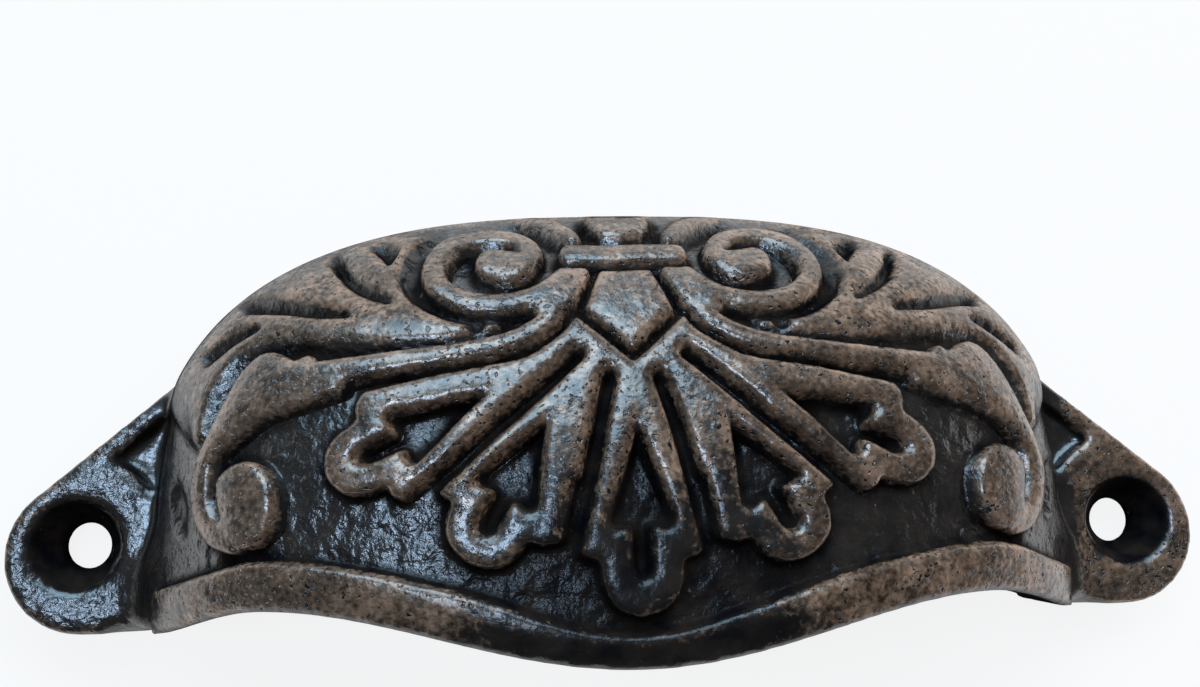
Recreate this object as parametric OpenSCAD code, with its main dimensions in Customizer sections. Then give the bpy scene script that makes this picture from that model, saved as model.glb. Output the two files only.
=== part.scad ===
// Cup pull for a drawer: one iron casting, a half-dome cup between two screw ears.
// The mounting face is z = 0, the pull stands out along +Z and the fingers go in from -Y.
// The origin is midway between the two screw holes.

/* [Cup] */
// Height of the plain cup, from its middle line to its top edge
cup_h = 25.5; // [22:0.5:30]
// Projection of the plain cup from the mounting face
cup_d = 22; // [18:0.5:26]
// Wall of the cup
wall = 3; // [2:0.1:4]
// Drop of the cup's middle line below the line of the screw holes
cup_drop = 0.8; // [0:0.1:3]
// Squareness of the cup's outline, where 2 is an ellipse
outline_power = 2.8; // [2:0.1:3.4]
// Fullness of the cup's profile, where 2 is an ellipse
profile_power = 2.2; // [2:0.1:2.8]

/* [Lip] */
// Reach of the lip below the cup's middle line, at its lowest point
lip_reach = 7.7; // [6:0.1:12]
// Rise of the lip's wave from its lowest point
lip_wave = 4; // [1:0.1:5]
// Distance from the lip's lowest point to the top of its wave
lip_half_wave = 25; // [18:0.5:30]
// Width of the rolled rim along the lip
rim_w = 3.4; // [2.6:0.1:5]
// Narrowing of the rim at its middle
rim_pinch = 1; // [0:0.1:1.5]
// Height of the rim above the plain cup
rim_relief = 1.2; // [0.6:0.1:2]

/* [Carving] */
// Height of the fan above the plain cup
relief = 1.5; // [1.2:0.1:2.2]
// Height of the leaves and scrolls above the plain cup
leaf_relief = 1.2; // [0.6:0.1:2]
// Round of the fan's and the rim's edges
carving_round = 0.35; // [0.2:0.05:0.5]
// Width of the slots between the petals
slot_w = 1; // [0.6:0.1:1.4]

/* [Ears] */
// Distance between the screw holes
hole_spacing = 83; // [76:0.5:96]
// Distance from a screw hole to the plain cup's side
hole_gap = 5.5; // [5:0.1:8]
// Thickness of the ears
ear_t = 4.4; // [4:0.1:6]
// Radius of the ears' round ends
ear_r = 5.9; // [5.3:0.1:7]
// Distance of the round ends' middles inward of the screw holes
ear_inset = 0.5; // [0:0.1:1]
// Height at which the ears' upper edges run in under the cup
ear_rise = 15.8; // [10:0.1:18]
// Depth of the sunk panel on each ear
panel_depth = 1.2; // [0.4:0.1:1.6]
// Border between the sunk panel and the ear's upper edge
panel_border = 1.5; // [1:0.1:2.4]
// Distance from the sunk panel to the middle of the screw hole
panel_gap = 6.9; // [6:0.1:8.5]
// Screw hole
hole_d = 3.6; // [3:0.1:4.5]
// Mouth of the screw hole's countersink
sink_d = 7.4; // [5.5:0.1:9]
// Depth of the countersink
sink_depth = 3; // [1.5:0.1:3.5]

/* [Hidden] */
cup_w = hole_spacing - 2 * hole_gap;
overall_w = hole_spacing + 2 * (ear_r - ear_inset);
projection = cup_d + relief;
// The carving is drawn on a cup of this width and height.
art_w = 72;
art_h = 25.5;
// The carving runs out into a plain border at this half width and height.
border_x = 35.2;
border_y = 25.2;
// The dome is closed flat above this angle.
crest_angle = 86;
// The carving stands at its full height above this angle, and fades to nothing at the mounting face.
fade_angle = 21;
over = 1;
skirt = lip_reach + ear_r + over;
// The lip's ends run down to the ears' lower edges.
lip_end_run = (cup_w + over) / 2 - lip_half_wave;
lip_end_drop = ear_r + lip_wave - lip_reach;

// Curve through hand-placed points, each [x, y] or [x, y, width]
function curve_at(a, b, c, d, t) =
    0.5 * (2 * b + (c - a) * t + (2 * a - 5 * b + 4 * c - d) * t * t + (3 * b - a - 3 * c + d) * t * t * t);
function curve(p, n = 2) = [
    for (i = [0 : len(p) - 2])
        for (k = [0 : n - 1])
            curve_at(p[max(i - 1, 0)], p[i], p[i + 1], p[min(i + 2, len(p) - 1)], k / n),
    p[len(p) - 1]
];
function closed_curve(p, n = 2) = let (m = len(p)) [
    for (i = [0 : m - 1])
        for (k = [0 : n - 1])
            curve_at(p[(i + m - 1) % m], p[i], p[(i + 1) % m], p[(i + 2) % m], k / n)
];

// Stroke of changing width along such a curve
function side_point(p, i, s) = let (
    d = p[min(i + 1, len(p) - 1)] - p[max(i - 1, 0)],
    w = s * p[i][2] / 2 / norm([d[0], d[1]])
) [p[i][0] - d[1] * w, p[i][1] + d[0] * w];
module stroke(points, n = 2) {
    p = curve(points, n);
    last = len(p) - 1;
    polygon([
        for (i = [0 : last]) side_point(p, i, 1),
        for (i = [last : -1 : 0]) side_point(p, i, -1)
    ]);
    for (i = [0, last])
        translate([p[i][0], p[i][1]]) circle(d = p[i][2], $fn = 6);
}

// Half-dome that stands out from the plain cup by grow, its open side run on below the lip
function signed_pow(v, e) = sign(v) * pow(abs(v), e);
function dome_ring(u, grow, low, base) = let (
    g = grow > 0 ? grow * min(1, u / fade_angle) : grow,
    k = pow(cos(u), 2 / profile_power),
    x = (cup_w / 2 + g) * k,
    y = (cup_h + g) * k,
    z = u == 0 ? base : (cup_d + g) * pow(sin(u), 2 / profile_power),
    e = 2 / outline_power
) concat(
    [[x, -low, z]],
    [for (t = [0 : 7.5 : 180]) [x * signed_pow(cos(t), e), y * pow(abs(sin(t)), e), z]],
    [[-x, -low, z]]
);
module dome(grow, low = skirt, base = 0, step = 8) {
    angles = concat([for (u = [0 : step : crest_angle - step / 2]) u], [crest_angle]);
    rings = [for (u = angles) dome_ring(u, grow, low, base)];
    m = len(rings[0]);
    top = len(rings) - 1;
    polyhedron(
        points = [for (r = rings) each r],
        faces = concat(
            [[for (j = [0 : m - 1]) j]],
            [[for (j = [m - 1 : -1 : 0]) top * m + j]],
            [concat([for (i = [0 : top]) i * m + m - 1], [for (i = [top : -1 : 0]) i * m])],
            [for (i = [0 : top - 1]) for (j = [0 : m - 2])
                [i * m + j, (i + 1) * m + j, (i + 1) * m + j + 1, i * m + j + 1]]
        ),
        convexity = 4
    );
}
module raised(height) {
    intersection() {
        dome(height);
        linear_extrude(projection + over) children();
    }
}

// The lip's wavy edge, and the rim along it
function lip_y(x) = let (past = abs(x) - lip_half_wave) past < 0
    ? -lip_reach + lip_wave / 2 * (1 - cos(180 * x / lip_half_wave))
    : lip_wave - lip_reach - lip_end_drop / 2 * (1 - cos(180 * min(1, past / lip_end_run)));
function rim_y(x) = lip_y(x) + rim_w - rim_pinch * pow(cos(90 * min(1, abs(x) / lip_half_wave * 2)), 2);
module above_lip() {
    half = cup_w / 2 + 2 * over;
    polygon(concat(
        [for (i = [-24 : 24]) [half * i / 24, lip_y(half * i / 24)]],
        [[half, cup_h + projection], [-half, cup_h + projection]]
    ));
}
module rim_band(inset) {
    half = cup_w / 2 + 2 * over;
    xs = [for (i = [-24 : 24]) half * i / 24];
    polygon(concat(
        [for (x = xs) [x, lip_y(x) + inset]],
        [for (i = [len(xs) - 1 : -1 : 0]) [xs[i], rim_y(xs[i]) - inset]]
    ));
}

// Fan of five petals: each has a shouldered outline with a round tip and a sunk arrow.
petal_side = [
    [-2.5, 1.4], [0, 2.2], [6, 3.8], [7.8, 4.2], [8.8, 3.4], [9.1, 2.6], [10.4, 2.4], [11.7, 1.7], [12.3, 0.5]
];
arrow_side = [[0, 0], [6.5, 2.2], [7.2, 1.8], [7.1, 0.8], [9.5, 0.75], [10.2, 0.3]];
function both_sides(p) = concat(p, [for (i = [len(p) - 1 : -1 : 0]) [p[i][0], -p[i][1]]]);
// Each petal is [root x, root y, turn, length, width].
petals = [[0, 8.8, -90, 1.06, 1.1], [6, 8.8, -61, 0.88, 1.12], [9.6, 10.5, -25.5, 1, 0.95]];
module petal_places() {
    for (p = petals)
        translate([p[0], p[1]]) rotate(p[2]) scale([p[3], p[4]]) children();
}
module fan_half() {
    difference() {
        union() {
            petal_places() polygon(both_sides(petal_side));
            polygon([
                [0, 12], [3.7, 15.3], [4.4, 15], [5.6, 13.9], [7.5, 12.8], [12, 11.5], [12, 6], [0, 4]
            ]);
        }
        petal_places() polygon(both_sides(arrow_side));
        stroke([[3.8, 13, 0.9 * slot_w], [8, 9.3, slot_w], [15, 3.2, 1.2 * slot_w]]);
        stroke([[1.7, 11.4, 0.9 * slot_w], [2.8, 7.4, slot_w], [4.9, -1, 1.2 * slot_w]]);
    }
}

// Keystone under a short bar, with a lobe above it
module keystone_half() {
    polygon([[0, 13.3], [3.2, 16.2], [1.9, 19.4], [0, 19.4]]);
    polygon([[0, 22.5], [1.6, 22.7], [2.4, 23.7], [3, 26], [0, 26]]);
    stroke([[0, 20.9, 1.6], [4, 20.9, 1.6]]);
}

// Main scroll: a spiral ridge from its root at the bar's end round to its eye, and a short band above the bar
module scroll_half() {
    stroke([
        [4.4, 19, 1.5], [6.3, 17.6, 1.5], [9, 17, 1.5], [11.8, 17.4, 1.6], [13.5, 18.7, 1.7],
        [13.8, 20.5, 1.7], [12.7, 22.1, 1.6], [10.6, 22.9, 1.4], [8.2, 22.6, 1.3], [6.9, 21.5, 1.5],
        [7.2, 20.4, 1.9], [8.3, 20, 2.6], [9.7, 20.3, 2.5]
    ]);
    polygon([[3, 19.6], [5, 19.3], [7, 17.6], [6.6, 16.2], [5.4, 15.8], [3.8, 17.6]]);
    stroke([[3.7, 22.6, 1.2], [5.2, 24, 1.4], [8, 25.6, 1.4]]);
}

// Long stem that sweeps from the keystone to the side leaf
module stem_half() {
    stroke([
        [3, 19.3, 0.9], [4, 17.6, 1.2], [5.3, 15.9, 1.5], [8, 14.3, 1.5], [12, 13.4, 1.5], [16, 12.9, 1.6],
        [20, 12.5, 1.8], [22.5, 12.1, 2.2]
    ]);
}

// Side leaf, which runs down the cup's edge and rolls up into a small scroll
module leaf_half() {
    polygon(closed_curve([
        [19, 13.2], [21.3, 13], [22.4, 13.8], [23.4, 13.5], [25.3, 14.3], [27.1, 13.3], [28.8, 10.5],
        [30.7, 6.4], [30.9, 3.6], [29.4, 0.8], [27, 0.1], [27.3, 1.7], [29, 3], [29.4, 5.2],
        [28.7, 7.2], [25, 9.5], [19, 11.3]
    ]));
    difference() {
        translate([26.7, 3.5]) scale([2.4, 3.1]) circle(r = 1, $fn = 24);
        stroke([[28.2, 7, 0.6], [29.1, 5, 0.7], [28.6, 2.5, 0.4]]);
    }
}

// Upper leaf, whose lobes spread from beside the main scroll to the plain border at the cup's top edge
module crown_half() {
    difference() {
        polygon(concat(
            curve([
                [9.2, 15.4], [12.6, 14.5], [16, 14.25], [19, 14.5], [21.8, 14.8], [25, 15.1], [27.6, 14.4],
                [29.1, 12.7], [29.9, 10.8], [30.4, 8.7]
            ]),
            [[31.2, 8], [32.6, 8.8], [34.5, 10.8], [40, 12], [40, 32], [9, 32], [9, 18]]
        ));
        translate([10.2, 20.1]) scale([6.2, 4.4]) circle(r = 1, $fn = 40);
        polygon([[3, 32], [3, 23], [9, 22.5], [13, 23.4], [17.5, 24], [22, 25.3], [24, 32]]);
        stroke([[21.4, 21.6, 0.7], [20.2, 19.8, 0.8], [18.7, 18.5, 0.6], [17, 17.7, 0.3]]);
        polygon(closed_curve([[18.6, 22.4], [16.8, 22.3], [17.5, 20.6]]));
        stroke([[28, 18.3, 1], [25, 17.8, 0.9], [22.4, 17.2, 0.6], [20, 16.8, 0.3]]);
        stroke([[30.6, 14.4, 0.9], [28.9, 15.5, 0.8], [26.8, 16.3, 0.3]]);
    }
}

// Plain border along the cup's top edge, where the carving runs out
module border_half() {
    e = 2 / outline_power;
    polygon(concat(
        [for (t = [90 : -10 : 30]) [border_x * pow(cos(t), e), border_y * pow(sin(t), e)]],
        [[art_w, border_y * pow(sin(30), e)], [art_w, art_w], [0, art_w]]
    ));
}

// A half of the carving and its mirror image, spread to the cup's size
module on_cup() {
    scale([cup_w / art_w, cup_h / art_h]) {
        children();
        mirror([1, 0]) children();
    }
}
module fan() {
    on_cup() fan_half();
}
module leaves() {
    on_cup() {
        keystone_half();
        scroll_half();
        stem_half();
        leaf_half();
        crown_half();
        border_half();
    }
}

// Ear: a lobe round the screw hole, whose upper edge rises to the cup's side and borders a sunk panel
module ear_outline() {
    hull() {
        translate([hole_spacing / 2 - ear_inset, 0]) circle(r = ear_r, $fn = 48);
        translate([cup_w / 2 - over, -ear_r]) square(over);
        translate([cup_w / 2 - 2 * wall, ear_rise - over]) square(over);
    }
}
module ear() {
    difference() {
        linear_extrude(ear_t) ear_outline();
        translate([0, 0, ear_t - panel_depth]) linear_extrude(panel_depth + over) difference() {
            offset(delta = -panel_border) ear_outline();
            translate([hole_spacing / 2, cup_drop]) circle(r = panel_gap, $fn = 48);
        }
    }
}

// The carved casting before its holes are drilled
module casting() {
    resize([overall_w, 0, 0]) difference() {
        union() {
            intersection() {
                union() {
                    dome(0);
                    raised(leaf_relief) leaves();
                    raised(relief - carving_round) fan();
                    raised(relief) offset(delta = -carving_round) fan();
                    raised(rim_relief - carving_round) rim_band(0);
                    raised(rim_relief) rim_band(2 * carving_round);
                }
                linear_extrude(projection + over) above_lip();
            }
            ear();
            mirror([1, 0]) ear();
        }
        dome(-wall, low = skirt + over, base = -over);
    }
}
module screw_hole() {
    translate([0, 0, -over]) cylinder(h = ear_t + 2 * over, d = hole_d, $fn = 48);
    translate([0, 0, ear_t - sink_depth]) cylinder(h = sink_depth, d1 = hole_d, d2 = sink_d, $fn = 48);
    translate([0, 0, ear_t]) cylinder(h = over, d = sink_d, $fn = 48);
}

module cup_pull() {
    color("#41352d") difference() {
        translate([0, -cup_drop, 0]) casting();
        for (x = [-hole_spacing / 2, hole_spacing / 2])
            translate([x, 0, 0]) screw_hole();
    }
}

cup_pull();
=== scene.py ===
import math

import bpy
import numpy as np
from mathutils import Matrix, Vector


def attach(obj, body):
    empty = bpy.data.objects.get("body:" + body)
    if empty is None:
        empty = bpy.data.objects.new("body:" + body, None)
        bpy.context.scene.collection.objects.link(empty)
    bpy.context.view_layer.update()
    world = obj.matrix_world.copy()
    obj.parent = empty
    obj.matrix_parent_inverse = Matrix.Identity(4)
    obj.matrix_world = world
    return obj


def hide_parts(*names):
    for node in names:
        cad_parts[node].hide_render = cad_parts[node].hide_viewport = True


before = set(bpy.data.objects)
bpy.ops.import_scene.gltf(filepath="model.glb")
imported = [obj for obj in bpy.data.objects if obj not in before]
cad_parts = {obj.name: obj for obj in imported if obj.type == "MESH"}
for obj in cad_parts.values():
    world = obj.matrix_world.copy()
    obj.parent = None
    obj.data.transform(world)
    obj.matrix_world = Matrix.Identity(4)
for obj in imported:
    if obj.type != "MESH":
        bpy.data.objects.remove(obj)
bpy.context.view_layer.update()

# The casting
# One piece of grey iron, poured in sand: the cup, its rim and both ears together.
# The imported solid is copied, welded, and given an even skin that is fine enough to carve.
casting = bpy.data.objects.new("iron_casting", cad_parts["cup_pull"].data.copy())
bpy.context.scene.collection.objects.link(casting)
bpy.ops.object.select_all(action="DESELECT")
casting.select_set(True)
bpy.context.view_layer.objects.active = casting
bpy.ops.object.mode_set(mode="EDIT")
bpy.ops.mesh.select_all(action="SELECT")
bpy.ops.mesh.remove_doubles(threshold=1e-6)
bpy.ops.object.mode_set(mode="OBJECT")
cup_drop = 0.8
skin_size = 0.00028


def apply_modifier(kind, **settings):
    modifier = casting.modifiers.new(kind.lower(), kind)
    for name, value in settings.items():
        setattr(modifier, name, value)
    bpy.ops.object.modifier_apply(modifier=modifier.name)


def read_mm():
    """The skin's points in millimetres, with y counted from the cup's middle line."""
    flat = np.empty(len(casting.data.vertices) * 3, np.float32)
    casting.data.vertices.foreach_get("co", flat)
    points = flat.reshape(-1, 3).astype(float) * 1000
    points[:, 1] += cup_drop
    return points


def write_mm(points):
    moved = points.copy()
    moved[:, 1] -= cup_drop
    casting.data.vertices.foreach_set("co", (moved / 1000).astype(np.float32).ravel())
    casting.data.update()


apply_modifier("REMESH", mode="VOXEL", voxel_size=skin_size)

# The plain cup
# The half-dome that the carving stands on, a full curve both in outline and in profile.
# Each point of the outer skin is taken back to this dome before the carving is cut on it.
half_width, height, depth = 36, 25.5, 22
outline_power, profile_power = 2.8, 2.2
ear_top = 4.4
carving_lift = 1.2
fade_angle = math.radians(21)


def ease(low, high, value):
    t = np.clip((value - low) / (high - low), 0, 1)
    return t * t * (3 - 2 * t)


def plain_cup(points):
    """Where each point lies on the plain dome, how far out it stands, and the way out."""
    x = np.abs(points[:, 0]) / half_width
    y = np.maximum(points[:, 1], 0) / height
    z = np.maximum(points[:, 2], 0) / depth
    plan = np.maximum((x**outline_power + y**outline_power) ** (1 / outline_power), 1e-4)
    size = (plan**profile_power + z**profile_power) ** (1 / profile_power)
    base = points / size[:, None]
    base[:, 1] = np.where(points[:, 1] > 0, base[:, 1], points[:, 1])
    lean = plan ** (profile_power - outline_power)
    way = np.stack([
        np.sign(points[:, 0]) * lean * x ** (outline_power - 1) / half_width,
        lean * y ** (outline_power - 1) / height,
        z ** (profile_power - 1) / depth,
    ], axis=1)
    way /= np.linalg.norm(way, axis=1)[:, None]
    return base, size, way, plan / size


wave_reach, wave_low, wave_swing = 25, -7.7, 2
tail_reach, tail_start, tail_swing = 11.5, -3.7, 1.1
rim_width, pinch_reach = 3.4, 12.5


def lip_edge(x):
    """The wavy front edge of the cup: one long wave, and a tail down to each ear."""
    past = np.abs(x) - wave_reach
    wave = wave_low + wave_swing * (1 - np.cos(np.pi * x / wave_reach))
    tail = tail_start - tail_swing * (1 - np.cos(np.pi * np.clip(past / tail_reach, 0, 1)))
    return np.where(past < 0, wave, tail)


def rim_top(x):
    """The upper edge of the raised rim, which is pinched in the middle."""
    pinch = np.cos(np.pi / 2 * np.minimum(1, np.abs(x) / pinch_reach)) ** 2
    return lip_edge(x) + rim_width - pinch


# The carving
# A fan of five petals under a keystone and bar, with scrolls, stems and leaves to each side.
# It was cut in the pattern, so every ridge has round shoulders and sloping sides.
def curve(points, steps=6):
    """A smooth line through the points. A third column, the width, is carried along."""
    p = np.array(points, float)
    before = np.vstack([p[:1], p[:-2]])
    start, end = p[:-1], p[1:]
    after = np.vstack([p[2:], p[-1:]])
    slope = end - before
    bend = 2 * before - 5 * start + 4 * end - after
    twist = 3 * start - before - 3 * end + after
    rows = []
    for t in np.arange(steps) / steps:
        rows.append(0.5 * (2 * start + slope * t + bend * t**2 + twist * t**3))
    return np.vstack([np.stack(rows, axis=1).reshape(-1, p.shape[1]), p[-1:]])


def ring(points, steps=4):
    """A closed curve through the points."""
    p = np.array(points, float)
    turned = np.vstack([p[-2:], p, p[:2]])
    return curve(turned, steps)[2 * steps:-2 * steps][:-1]


def oval(centre, radii, sides=48):
    turn = np.linspace(0, 2 * np.pi, sides, endpoint=False)
    around = np.stack([np.cos(turn), np.sin(turn)], axis=1)
    return np.array(centre) + np.array(radii) * around


def both_sides(half):
    """A petal or arrow from its upper half, mirrored over its own length."""
    return half + [[x, -y] for x, y in reversed(half)]


def mirrored(half):
    """A middle piece from its right half, mirrored over the pull's middle."""
    return half + [[-x, y] for x, y in reversed(half)]


def near(place, shape, margin=2.5):
    """The places close enough to a shape to be worth measuring."""
    low, high = shape[:, :2].min(0) - margin, shape[:, :2].max(0) + margin
    return np.flatnonzero(((place > low) & (place < high)).all(axis=1))


far = -9.0


def stroke(place, points, steps=6):
    """How deep each place lies inside a ridge of changing width, in mm. Outside it is negative."""
    p = curve(points, steps)
    out = np.full(len(place), far)
    here = near(place, p)
    q = place[here]
    best = np.full(len(here), far)
    for a, b in zip(p[:-1], p[1:]):
        along = b[:2] - a[:2]
        t = np.clip((q - a[:2]) @ along / (along @ along), 0, 1)
        gap = np.linalg.norm(q - a[:2] - t[:, None] * along, axis=1)
        best = np.maximum(best, (a[2] + t * (b[2] - a[2])) / 2 - gap)
    out[here] = best
    return out


def plate(place, points):
    """How deep each place lies inside a closed outline, in mm. Outside it is negative."""
    p = np.array(points, float)
    out = np.full(len(place), far)
    here = near(place, p)
    q = place[here]
    gap = np.full(len(here), 1e9)
    inside = np.zeros(len(here), bool)
    for a, b in zip(p, np.roll(p, -1, axis=0)):
        along = b - a
        t = np.clip((q - a) @ along / max(along @ along, 1e-9), 0, 1)
        gap = np.minimum(gap, ((q - a - t[:, None] * along) ** 2).sum(axis=1))
        if a[1] != b[1]:
            crosses = (a[1] > q[:, 1]) != (b[1] > q[:, 1])
            inside ^= crosses & (q[:, 0] < along[0] * (q[:, 1] - a[1]) / along[1] + a[0])
    out[here] = np.where(inside, 1, -1) * np.sqrt(gap)
    return out


def placed(points, root, turn, length, width):
    """An outline at its size, turned by so many degrees and set on its root."""
    c, s = math.cos(math.radians(turn)), math.sin(math.radians(turn))
    sized = [[x * length, y * width] for x, y in points]
    return [[root[0] + c * x - s * y, root[1] + s * x + c * y] for x, y in sized]


def union(*depths):
    return np.maximum.reduce(depths)


def cut(depth_in, *tools):
    return np.minimum.reduce([depth_in] + [-t for t in tools])


side_start, side_end = -0.34, 0.16
side_share, top_share = 0.82, 0.18


def swell(depth_in, shoulder=0.9, softer=0):
    """A steep side up from the ground, then a broad top that is only a little crowned."""
    slope = ease(side_start - softer, side_end + softer, depth_in)
    rounding = 1 - (1 - np.clip(depth_in / shoulder, 0, 1)) ** 2
    return side_share * slope + top_share * rounding


petal_side = [
    [-2.5, 1.4], [0, 2.2], [6, 3.8], [7.8, 4.2], [8.8, 3.4],
    [9.1, 2.6], [10.4, 2.4], [11.7, 1.7], [12.3, 0.5],
]
arrow_side = [[0, 0], [6.5, 2.2], [7.2, 1.8], [7.1, 0.8], [9.5, 0.75], [10.2, 0.3]]
petals = [([0, 8.8], -90, 1.06, 1.1), ([6, 8.8], -61, 0.88, 1.12), ([9.6, 10.5], -25.5, 1, 0.95)]
slots = [
    [[3.8, 13, 0.9], [8, 9.3, 1], [15, 3.2, 1.2]],
    [[1.7, 11.4, 0.9], [2.8, 7.4, 1], [4.9, -1, 1.2]],
]
fan_web = [
    [0, 12.5], [3.8, 15.8], [4.5, 15.3], [5.6, 14.1], [7.5, 12.9], [12, 11.6], [12, 6], [0, 4],
]
arrow_inset = 0.2


def arrows(place):
    outlines = [plate(place, placed(both_sides(arrow_side), *p)) for p in petals]
    return union(*outlines) - arrow_inset


def stem_groove(place):
    return stroke(place, [
        [4.05, 16.2, 0.6], [4.75, 15.05, 0.6], [6.2, 14, 0.6], [8, 13.1, 0.6], [12, 12.38, 0.6],
        [16, 11.7, 0.6], [19.5, 11.1, 0.4],
    ])


def fan(place):
    outlines = [plate(place, ring(placed(both_sides(petal_side), *p))) for p in petals]
    body = union(*outlines, plate(place, mirrored(fan_web)))
    return cut(body, arrows(place), stem_groove(place), *[stroke(place, s) for s in slots])


def keystone(place):
    shield = plate(place, mirrored([[0, 13.3], [3.2, 16.2], [1.9, 19.4]]))
    crest = plate(place, mirrored([[0, 22.5], [1.6, 22.7], [2.4, 23.7], [3, 26]]))
    bar = stroke(place, [[-4, 20.9, 1.6], [0, 20.9, 1.6], [4, 20.9, 1.6]])
    return union(shield, crest, bar)


def scroll(place):
    spiral = stroke(place, [
        [4.4, 19, 1.5], [6.3, 17.6, 1.5], [9, 17, 1.5], [11.8, 17.4, 1.6], [13.5, 18.7, 1.7],
        [13.8, 20.5, 1.7], [12.7, 22.1, 1.6], [10.6, 22.9, 1.4], [8.2, 22.6, 1.3], [6.9, 21.5, 1.5],
        [7.2, 20.4, 1.9], [8.3, 20, 2.6], [9.7, 20.3, 2.5],
    ])
    root = plate(place, ring([[3, 19.6], [5, 19.3], [7, 17.6], [6.6, 16.2], [5.4, 15.8], [3.8, 17.6]]))
    band = stroke(place, [[3.7, 22.6, 1.2], [5.2, 24, 1.4], [8, 25.6, 1.4]])
    return union(spiral, root, band)


def stem(place):
    ridge = stroke(place, [
        [3, 19.3, 0.9], [4, 17.6, 1.2], [5.3, 15.9, 1.5], [8, 14.3, 1.5], [12, 13.4, 1.5],
        [16, 12.9, 1.6], [20, 12.5, 1.8], [22.5, 12.1, 2.2],
    ])
    return cut(ridge, stem_groove(place))


def side_leaf(place):
    return plate(place, ring([
        [19, 13.2], [21.3, 13], [22.4, 13.8], [23.4, 13.5], [25.3, 14.3], [27.1, 13.3], [28.8, 10.5],
        [30.7, 6.4], [30.9, 3.6], [29.4, 0.8], [27, 0.1], [27.3, 1.7], [29, 3], [29.4, 5.2],
        [28.7, 7.2], [25, 9.5], [19, 11.3],
    ]))


def side_boss(place):
    groove = stroke(place, [[28.2, 7, 0.6], [29.1, 5, 0.7], [28.6, 2.5, 0.4]])
    return cut(plate(place, oval([26.7, 3.5], [2.4, 3.1])), groove)


def crown(place):
    lower_edge = curve([
        [9.2, 15.4], [12.6, 14.5], [16, 14.25], [19, 14.5], [21.8, 14.8], [25, 15.1], [27.6, 14.4],
        [29.1, 12.7], [29.9, 10.8], [30.4, 8.7],
    ])
    outer_edge = [[31.2, 8], [32.6, 8.8], [34.5, 10.8], [40, 12], [40, 32], [9, 32], [9, 18]]
    return cut(
        plate(place, np.vstack([lower_edge, outer_edge])),
        plate(place, oval([10.8, 15.6], [0.6, 0.55])),
        plate(place, oval([10.2, 20.1], [6.2, 4.4])),
        plate(place, [[3, 32], [3, 23], [9, 22.5], [13, 23.4], [17.5, 24], [22, 25.3], [24, 32]]),
        stroke(place, [[21.4, 21.6, 0.7], [20.2, 19.8, 0.8], [18.7, 18.5, 0.6], [17, 17.7, 0.3]]),
        plate(place, ring([[18.6, 22.4], [16.8, 22.3], [17.5, 20.6]])),
        stroke(place, [[28, 18.3, 1], [25, 17.8, 0.9], [22.4, 17.2, 0.6], [20, 16.8, 0.3]]),
        stroke(place, [[30.6, 14.4, 0.9], [28.9, 15.5, 0.8], [26.8, 16.3, 0.3]]),
    )


def rim(place):
    top = rim_top(place[:, 0])
    low = lip_edge(place[:, 0])
    upper_side = ease(-0.2, 0.35, top - place[:, 1])
    face = 0.62 + 0.38 * ease(0, 2.2, place[:, 1] - low)
    return upper_side * face * ease(37.5, 32, place[:, 0])


fan_height, keystone_height, ribbon_height = 1.6, 1.5, 1.45
boss_height, crown_height, rim_height = 1.55, 1.2, 1.25
broad_shoulder = 1.5
crown_softness = 0.25
crown_tail_loss = 0.85
dent_depth, arrow_depth = 0.5, 0.35


def relief(place):
    """Height of the carving above the plain cup at each place of its plan, in mm."""
    crown_tail = ease(30, 33, place[:, 0]) * ease(14, 8, place[:, 1])
    crown_top = crown_height * (1 - crown_tail_loss * crown_tail)
    raised = union(
        fan_height * swell(fan(place)),
        keystone_height * swell(keystone(place)),
        ribbon_height * swell(scroll(place)),
        ribbon_height * swell(stem(place)),
        ribbon_height * swell(side_leaf(place), broad_shoulder),
        boss_height * swell(side_boss(place), broad_shoulder),
        crown_top * swell(crown(place), broad_shoulder, crown_softness),
        rim_height * rim(place),
    )
    side_dent = stroke(place, [[33.6, 5.3, 0.6], [33.3, 3.6, 1.4], [32.8, 1.8, 0.8]])
    raised -= dent_depth * ease(-0.3, 0.5, side_dent)
    return raised - arrow_depth * ease(0.1, 0.5, arrows(place))


def grain(points, size, seed):
    """Smooth random values between -1 and 1, in lumps of the given size in mm."""
    q = points / size + 31.7 * seed
    cell = np.floor(q).astype(np.int64)
    t = q - cell
    t = t * t * (3 - 2 * t)
    total = np.zeros(len(points))
    for corner in np.ndindex(2, 2, 2):
        c = cell + np.array(corner)
        mixed = (c[:, 0] * 73856093 ^ c[:, 1] * 19349663 ^ c[:, 2] * 83492791) & 0x7FFFFFFF
        mixed = (mixed ^ (mixed >> 13)) * 1274126177 & 0x7FFFFFFF
        mixed = (mixed ^ (mixed >> 16)) & 0xFFFF
        share = np.prod(np.where(corner, t, 1 - t), axis=1)
        total += share * (mixed / 32767.5 - 1)
    return total


border_height = 1.2
waver, waver_length = 0.12, 3.5
ear_start, ear_upper_end, ear_clearance = 32.5, 15, 0.35
edge_clearance = 0.3
shell_inside, shell_outside = 0.965, 1.09


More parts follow.
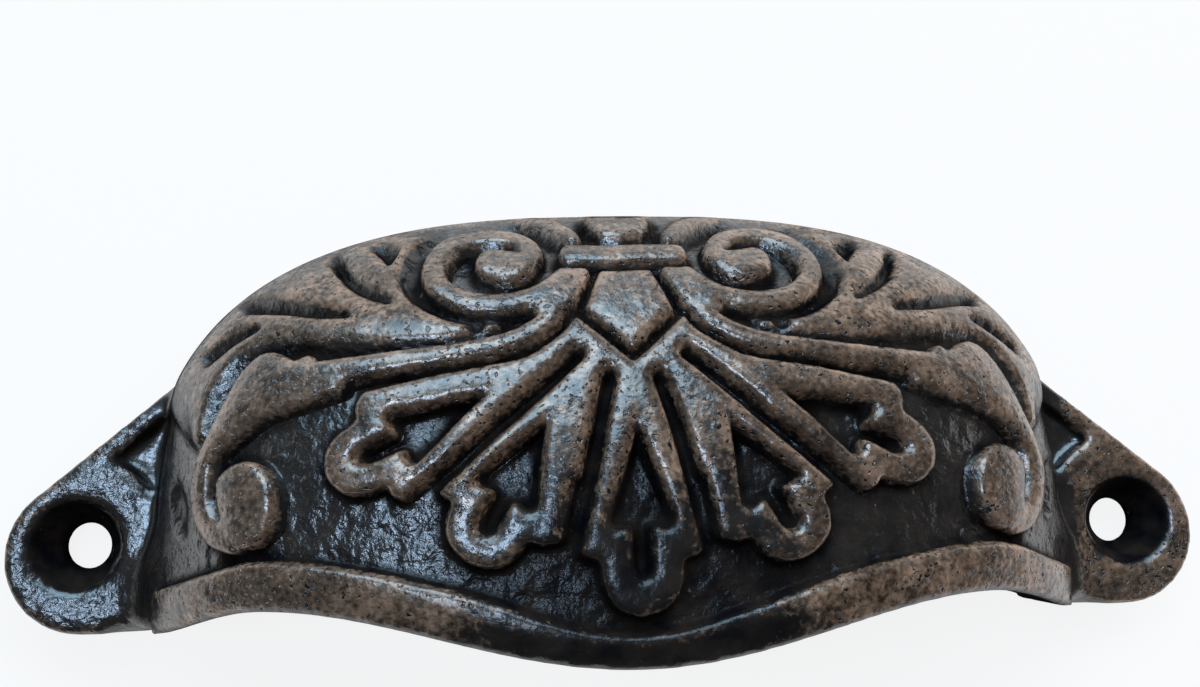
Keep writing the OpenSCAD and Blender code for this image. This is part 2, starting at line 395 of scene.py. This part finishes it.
def carve():
    """Sets the outer skin to the carved dome. Gives back each point's height, and which are outer."""
    points = read_mm()
    x, y, z = points.T
    base, size, way, plan = plain_cup(points)
    spread_x = (half_width + carving_lift) / half_width
    spread_y = np.where(y > 0, (height + carving_lift) / height, 1)
    place = np.stack([np.abs(base[:, 0]) * spread_x, base[:, 1] * spread_y], axis=1)
    place += waver * np.stack([grain(points, waver_length, 1), grain(points, waver_length, 2)], axis=1)
    rise = np.arcsin(np.clip(base[:, 2] / depth, 0, 1) ** (profile_power / 2))
    fade = np.clip(rise / fade_angle, 0, 1)
    on_ear = (np.abs(x) > ear_start) & (y < ear_upper_end) & (z < ear_top + ear_clearance)
    off_edges = (y > lip_edge(x) + edge_clearance) & (z > edge_clearance)
    outer = (size > shell_inside) & (size < shell_outside) & off_edges & ~on_ear
    stand = np.zeros(len(points))
    stand[outer] = relief(place[outer])
    border = ease(0.9, 0.95, plan) * ease(12, 16, y)
    stand += (border_height - stand) * border
    stand = np.where(outer, stand * fade, 0)
    points[outer] = base[outer] + way[outer] * stand[outer, None]
    write_mm(points)
    return stand, outer


carve()
apply_modifier("REMESH", mode="VOXEL", voxel_size=skin_size)
stand, outer = carve()

# The cast skin
# Sand leaves the hollows stippled, and years of polish and handling round off every edge.
# The ears, the lip and the corner where they meet the cup are softened more than the carving.
pairs = np.empty(len(casting.data.edges) * 2, np.int32)
casting.data.edges.foreach_get("vertices", pairs)
left, right = pairs[0::2], pairs[1::2]
neighbours = np.bincount(pairs, minlength=len(casting.data.vertices))


def averaged(values):
    """The mean of each point's neighbours."""
    columns = []
    for c in values.T:
        columns.append(np.bincount(left, c[right], len(c)) + np.bincount(right, c[left], len(c)))
    return np.stack(columns, axis=1) / neighbours[:, None]


smoothing = 0.5
all_over_steps, soft_steps, foot_steps, rounding_steps = 1, 7, 100, 14
flare_width = 1.1
skin = read_mm()
x, y, z = skin.T
side = np.abs(x)
lip_gap = np.abs(y - lip_edge(x))
flare = ease(10, 4.6, z) * ease(3, -2, y) * ease(31.5, 35, side) * ease(38.5, 36, side)
x += flare_width * flare * np.sign(x)
corner = (np.abs(side - 35.5) < 2.5) & (z < 7) & (y < 16)
foot = ease(3.6, 2, np.abs(side - 36)) * ease(4, 2.4, np.abs(z - 5)) * ease(0.5, -1.5, y)
foot = smoothing * foot[:, None]
soft = np.where(~outer | (lip_gap < 1) | corner, smoothing, 0)[:, None]
for step in range(foot_steps):
    share = smoothing if step < all_over_steps else soft if step < soft_steps else foot
    skin += (averaged(skin) - skin) * share
rounded = skin.copy()
for step in range(rounding_steps):
    rounded += (averaged(rounded) - rounded) * smoothing
write_mm(skin)
facing = np.empty(len(skin) * 3, np.float32)
casting.data.vertices.foreach_get("normal", facing)
facing = facing.reshape(-1, 3)
upward = facing[:, 2]
convex = ((skin - rounded) * facing).sum(axis=1)
fine_sand, fine_height = 0.75, 0.09
coarse_sand, coarse_height = 1.7, 0.06
stipple = fine_height * grain(skin, fine_sand, 3) + coarse_height * grain(skin, coarse_sand, 4)
rough_ear = np.where(outer, 0, ease(-36, -37.5, x) * ease(3.4, 4, z))
stipple *= np.where(outer, 1 - 0.75 * ease(0.4, 1.1, stand), 0.25 + 0.4 * rough_ear)
stipple *= ease(0.1, 0.7, upward)
skin += facing * stipple[:, None]
skin[:, 2] = np.maximum(z, 0)
write_mm(skin)
bpy.ops.object.shade_smooth()

# The wear, with painted shade and painted light
# Hands and cloth have rubbed the lacquer off the ridges, the rim and the right ear.
# Grime has dulled the corners, the steep walls and the front. Painted shade keeps the front middle,
# the middle and ends of the rim and the low end walls darker, and painted light makes the right of
# the upper carving barer and lighter. How bare, gritty and dull the iron is
# stays on each point of the skin, where the finish reads it.
hole_side = 41.5
from_hole = np.hypot(side - hole_side, y - cup_drop)
below_rim_top = rim_top(x) - y
rim_foot = ~outer & (side > 34) & (z > 3.8) & (upward > 0.2)
on_rim = np.where(outer | rim_foot, ease(-0.2, 0.35, below_rim_top), 0)
# Painted shade: the middle of the rim, which faces the front, is kept darker, near black lacquer; the
# rim's wear also ends towards the ears.
on_rim *= (0.35 + 0.65 * ease(5, 14, side)) * ease(38, 33, side)
ridge_wear = 0.62 * ease(0.65, 1.05, stand) * ease(3, 11, z)
bare_with_painted_shading = np.maximum(ridge_wear, 0.9 * on_rim)
edge_wear = ease(0.015, 0.1, convex)
corner_grime = ease(0.01, 0.1, -convex)
bare_with_painted_shading += 0.45 * edge_wear - 0.9 * corner_grime
right_ear = ease(36, 38, x) * ease(3, 4.2, z)
# Painted light: the right of the upper carving is made barer and lighter, as if lit from the right.
right_crown_painted_light = ease(4, 22, x) * ease(0.5, 1, stand) * ease(8, 13, y)
bare_with_painted_shading += 0.8 * right_ear
bare_with_painted_shading += 0.2 * right_crown_painted_light
# Painted shade: the middle of the front, petals and ground, is darkened towards black lacquer.
front_painted_shade = ease(8.5, 0, y) * ease(15, 5, side)
# Painted shade: the low walls at each end, beside the ears, are darkened.
end_wall_painted_shade = ease(31.5, 35, side) * ease(14, 8, z) * ease(37, 36, side)
bare_with_painted_shading -= 0.75 * front_painted_shade
bare_with_painted_shading -= 0.4 * end_wall_painted_shade
# Painted shade: the ends of the rim are darkened where they run into the ears.
bare_with_painted_shading -= 0.35 * on_rim * ease(27, 34, side)
bare_with_painted_shading -= ease(3.8, 3.4, from_hole)
gritty = np.where(outer, 1 - 0.55 * ease(0.4, 1.1, stand), 0.35 + 0.5 * rough_ear)
front_ground = np.where(outer, ease(0.6, 0.3, stand), 0) * ease(7, 3, y) * ease(15, 9, side)
front_petal = np.where(outer, ease(8, 2, y) * ease(9, 4, side), 0)
upper_shoulders = ease(14.5, 16, y) * ease(12, 15, side)
lower_ends = np.where(outer, ease(30.5, 33.5, side) * ease(13, 8, z), 0)
rim_face = np.where(outer, ease(0.3, 1, below_rim_top), 0) * ease(27, 18, side)
dull = union(
    np.where(outer, corner_grime, ease(3.7, 3.4, from_hole)),
    ease(0.8, 0.35, upward),
    0.8 * front_ground,
    0.65 * front_petal,
    0.6 * upper_shoulders,
    0.96 * lower_ends,
    0.75 * rim_face,
)
looks = np.stack([np.clip(bare_with_painted_shading, 0, 1), gritty, dull], axis=1)
blur_steps, foot_blur_steps = 2, 24
for step in range(foot_blur_steps):
    looks += (averaged(looks) - looks) * (smoothing if step < blur_steps else foot)
for name, values in zip(("bare_with_painted_shading", "gritty", "dull"), looks.T):
    attribute = casting.data.attributes.new(name, "FLOAT", "POINT")
    attribute.data.foreach_set("value", values.astype(np.float32))

# The hollow
# The inside of the cup and the underside are plain iron, hidden when the pull is on its drawer.
# Their skin is thinned out, and the lip and the holes keep theirs.
hollow_share = 0.69
unseen = ~outer & ((side < 33.5) | (z < 2)) & (lip_gap > 1.5) & (from_hole > 3)
hollow = casting.vertex_groups.new(name="hollow")
hollow.add(np.flatnonzero(unseen).tolist(), 1, "REPLACE")
apply_modifier("DECIMATE", ratio=hollow_share, vertex_group=hollow.name)
casting.data.materials.clear()
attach(casting, "root")
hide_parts("cup_pull")

# The finish
# Black lacquer left in the hollows, rubbed back on the ridges to a coppery brown.
# The painted shade and painted light of the wear darken the front and lighten the right the same way.
# Small pits from the sand keep their black, and a thin clear coat shines wherever no grime lies.
finish = bpy.data.materials.new("rubbed_black_copper")
finish.use_nodes = True
nodes, links = finish.node_tree.nodes, finish.node_tree.links
shader = nodes["Principled BSDF"]
shader.inputs["Coat Roughness"].default_value = 0.24
shader.inputs["Coat IOR"].default_value = 1.8
where = nodes.new("ShaderNodeTexCoord").outputs["Object"]


def noise(scale, detail=2.0):
    """Noise with so many lumps to the metre."""
    made = nodes.new("ShaderNodeTexNoise")
    made.inputs["Scale"].default_value = scale
    made.inputs["Detail"].default_value = detail
    links.new(where, made.inputs["Vector"])
    return made.outputs["Fac"]


def math_node(operation, *values):
    made = nodes.new("ShaderNodeMath")
    made.operation = operation
    for socket, value in zip(made.inputs, values):
        if isinstance(value, (int, float)):
            socket.default_value = value
        else:
            links.new(value, socket)
    return made.outputs[0]


def ramp(value, *stops):
    made = nodes.new("ShaderNodeValToRGB")
    while len(made.color_ramp.elements) < len(stops):
        made.color_ramp.elements.new(0.5)
    for element, (position, colour) in zip(made.color_ramp.elements, stops):
        element.position = position
        element.color = (*colour, 1)
    links.new(value, made.inputs["Fac"])
    return made.outputs["Color"]


def blend(share, first, second):
    made = nodes.new("ShaderNodeMix")
    made.data_type = "RGBA"
    links.new(share, made.inputs["Factor"])
    links.new(first, made.inputs["A"])
    links.new(second, made.inputs["B"])
    return made.outputs["Result"]


def grey(level):
    return (level, level, level)


# How far the lacquer is rubbed back to copper, with the painted shade and painted light of the wear in
# it.
rubbed_with_painted_shading = nodes.new("ShaderNodeAttribute")
rubbed_with_painted_shading.attribute_name = "bare_with_painted_shading"
fine = math_node("MULTIPLY_ADD", noise(2600, 3), 0.9, -0.45)
patchy = math_node("ADD", rubbed_with_painted_shading.outputs["Fac"], math_node("MULTIPLY_ADD", noise(1100, 3), 1.2, -0.6))
worn_with_painted_shading = ramp(math_node("ADD", patchy, fine), (0.3, grey(0)), (0.85, grey(1)))
black_lacquer = (0.004, 0.004, 0.005)
brown_lacquer = (0.02, 0.015, 0.012)
lacquer = ramp(noise(500), (0.35, black_lacquer), (0.7, brown_lacquer))
dark_copper = (0.03, 0.018, 0.012)
brown_copper = (0.15, 0.093, 0.06)
bright_copper = (0.34, 0.21, 0.14)
mottle = math_node("MULTIPLY_ADD", noise(2600, 3), 0.6, math_node("MULTIPLY", noise(420, 5), 0.7))
copper = ramp(mottle, (0.48, dark_copper), (0.65, brown_copper), (0.82, bright_copper))
speckle = math_node("MULTIPLY_ADD", noise(330), 0.35, noise(2700, 1))
pit = ramp(speckle, (0.47, grey(1)), (0.55, grey(0)))
links.new(blend(pit, blend(worn_with_painted_shading, lacquer, copper), lacquer), shader.inputs["Base Color"])
grimy = nodes.new("ShaderNodeAttribute")
grimy.attribute_name = "dull"
grime = grimy.outputs["Fac"]
clean_metallic, clean_specular = 0.45, 0.5
bright = math_node("MULTIPLY_ADD", grime, -clean_metallic, clean_metallic)
links.new(math_node("MULTIPLY", worn_with_painted_shading, bright), shader.inputs["Metallic"])
links.new(math_node("SUBTRACT", 1, grime), shader.inputs["Coat Weight"])
specular = math_node("MULTIPLY_ADD", grime, -clean_specular, clean_specular)
links.new(specular, shader.inputs["Specular IOR Level"])
links.new(math_node("MULTIPLY_ADD", noise(1500), 0.4, 0.12), shader.inputs["Roughness"])
sand = nodes.new("ShaderNodeAttribute")
sand.attribute_name = "gritty"
grit = math_node("ADD", noise(1900, 3), math_node("MULTIPLY", noise(800), 0.9))
rough = math_node("MULTIPLY", grit, sand.outputs["Fac"])
pit_depth, grit_height, grit_strength = 0.6, 0.00015, 0.9
surface = math_node("MULTIPLY_ADD", math_node("MULTIPLY", pit, worn_with_painted_shading), -pit_depth, rough)
bump = nodes.new("ShaderNodeBump")
bump.inputs["Strength"].default_value = grit_strength
bump.inputs["Distance"].default_value = grit_height
links.new(surface, bump.inputs["Height"])
links.new(bump.outputs["Normal"], shader.inputs["Normal"])
links.new(bump.outputs["Normal"], shader.inputs["Coat Normal"])
casting.data.materials.append(finish)

# The table
# A plain white sheet that the pull lies on, ears down, with its soft shadow round it.
# Far away the sheet turns up into a low backdrop, so that low views see no edge.
backdrop_radius, backdrop_height, backdrop_sides = 3, 0.2, 96
table_gap = 0.0002
middle = (0, 0, backdrop_height / 2 - table_gap)
bpy.ops.object.select_all(action="DESELECT")
bpy.ops.mesh.primitive_cylinder_add(
    vertices=backdrop_sides, radius=backdrop_radius, depth=backdrop_height, location=middle)
table = bpy.context.object
table.name = "table"
bpy.ops.object.transform_apply(location=True)
bpy.ops.object.mode_set(mode="EDIT")
bpy.ops.mesh.flip_normals()
bpy.ops.mesh.select_all(action="DESELECT")
bpy.ops.object.mode_set(mode="OBJECT")
for face in table.data.polygons:
    face.select = face.center.z > backdrop_height * 0.9
bpy.ops.object.mode_set(mode="EDIT")
bpy.ops.mesh.delete(type="FACE")
bpy.ops.object.mode_set(mode="OBJECT")
paper = bpy.data.materials.new("white_paper")
paper.use_nodes = True
sheet = paper.node_tree
paper_shader = sheet.nodes["Principled BSDF"]
paper_white, glow_share = 0.85, 0.86
paper_shader.inputs["Base Color"].default_value = (*grey(paper_white), 1)
paper_shader.inputs["Roughness"].default_value = 0.9
glow = sheet.nodes.new("ShaderNodeEmission")
seen = sheet.nodes.new("ShaderNodeLightPath")
by_sight = sheet.nodes.new("ShaderNodeMath")
by_sight.operation = "MAXIMUM"
or_through = sheet.nodes.new("ShaderNodeMath")
or_through.operation = "MAXIMUM"
glowing = sheet.nodes.new("ShaderNodeMath")
glowing.operation = "MULTIPLY"
glowing.inputs[1].default_value = glow_share
mix = sheet.nodes.new("ShaderNodeMixShader")
sheet.links.new(seen.outputs["Is Camera Ray"], by_sight.inputs[0])
sheet.links.new(seen.outputs["Is Glossy Ray"], by_sight.inputs[1])
sheet.links.new(by_sight.outputs[0], or_through.inputs[0])
sheet.links.new(seen.outputs["Is Transmission Ray"], or_through.inputs[1])
sheet.links.new(or_through.outputs[0], glowing.inputs[0])
sheet.links.new(glowing.outputs[0], mix.inputs["Fac"])
sheet.links.new(paper_shader.outputs["BSDF"], mix.inputs[1])
sheet.links.new(glow.outputs["Emission"], mix.inputs[2])
sheet.links.new(mix.outputs["Shader"], sheet.nodes["Material Output"].inputs["Surface"])
table.data.materials.append(paper)


# The light
# A cool window behind the pull to the left, and a small patch of sky above it on the same side.
# A broad pale lamp behind it to the right fills in, and the room is dim, warm and even.
def soft_light(name, place, size, power, colour):
    """An area light that faces the pull."""
    lamp = bpy.data.lights.new(name, "AREA")
    lamp.shape = "RECTANGLE"
    lamp.size, lamp.size_y = size
    lamp.energy = power
    lamp.color = colour
    holder = bpy.data.objects.new(name, lamp)
    bpy.context.scene.collection.objects.link(holder)
    holder.location = place
    holder.rotation_euler = (-Vector(place)).to_track_quat("-Z", "Y").to_euler()
    return holder


soft_light("window", (-0.14, 0.47, 0.37), (0.5, 0.5), 3.3, (0.52, 0.78, 1))
soft_light("skylight", (-0.2, 0.02, 0.54), (0.12, 0.18), 0.9, (0.54, 0.74, 1))
lamp = soft_light("lamp", (0.45, 0.4, 0.32), (0.6, 0.6), 4.8, (0.9, 0.94, 0.98))
lamp.visible_glossy = False
room_colour, room_strength = (0.55, 0.5, 0.45), 0.13
world = bpy.data.worlds.new("room")
bpy.context.scene.world = world
world.use_nodes = True
room = world.node_tree.nodes["Background"]
room.inputs["Color"].default_value = (*room_colour, 1)
room.inputs["Strength"].default_value = room_strength

# The camera
# It looks down on the lying pull from about ten centimetres above, tilted by a few degrees.
# Its place and lens were fitted to the outline, the lip and the holes in the picture.
camera_data = bpy.data.cameras.new("camera")
camera_data.sensor_width = 36
camera_data.lens = 37.92
camera = bpy.data.objects.new("camera", camera_data)
bpy.context.scene.collection.objects.link(camera)
camera.location = (-0.00836, 0.00129, 0.10449)
camera.rotation_euler = tuple(math.radians(a) for a in (7.88, -4.01, -1.41))
camera_data.clip_start = 0.01
bpy.context.scene.camera = camera
bpy.context.scene.view_settings.view_transform = "Standard"
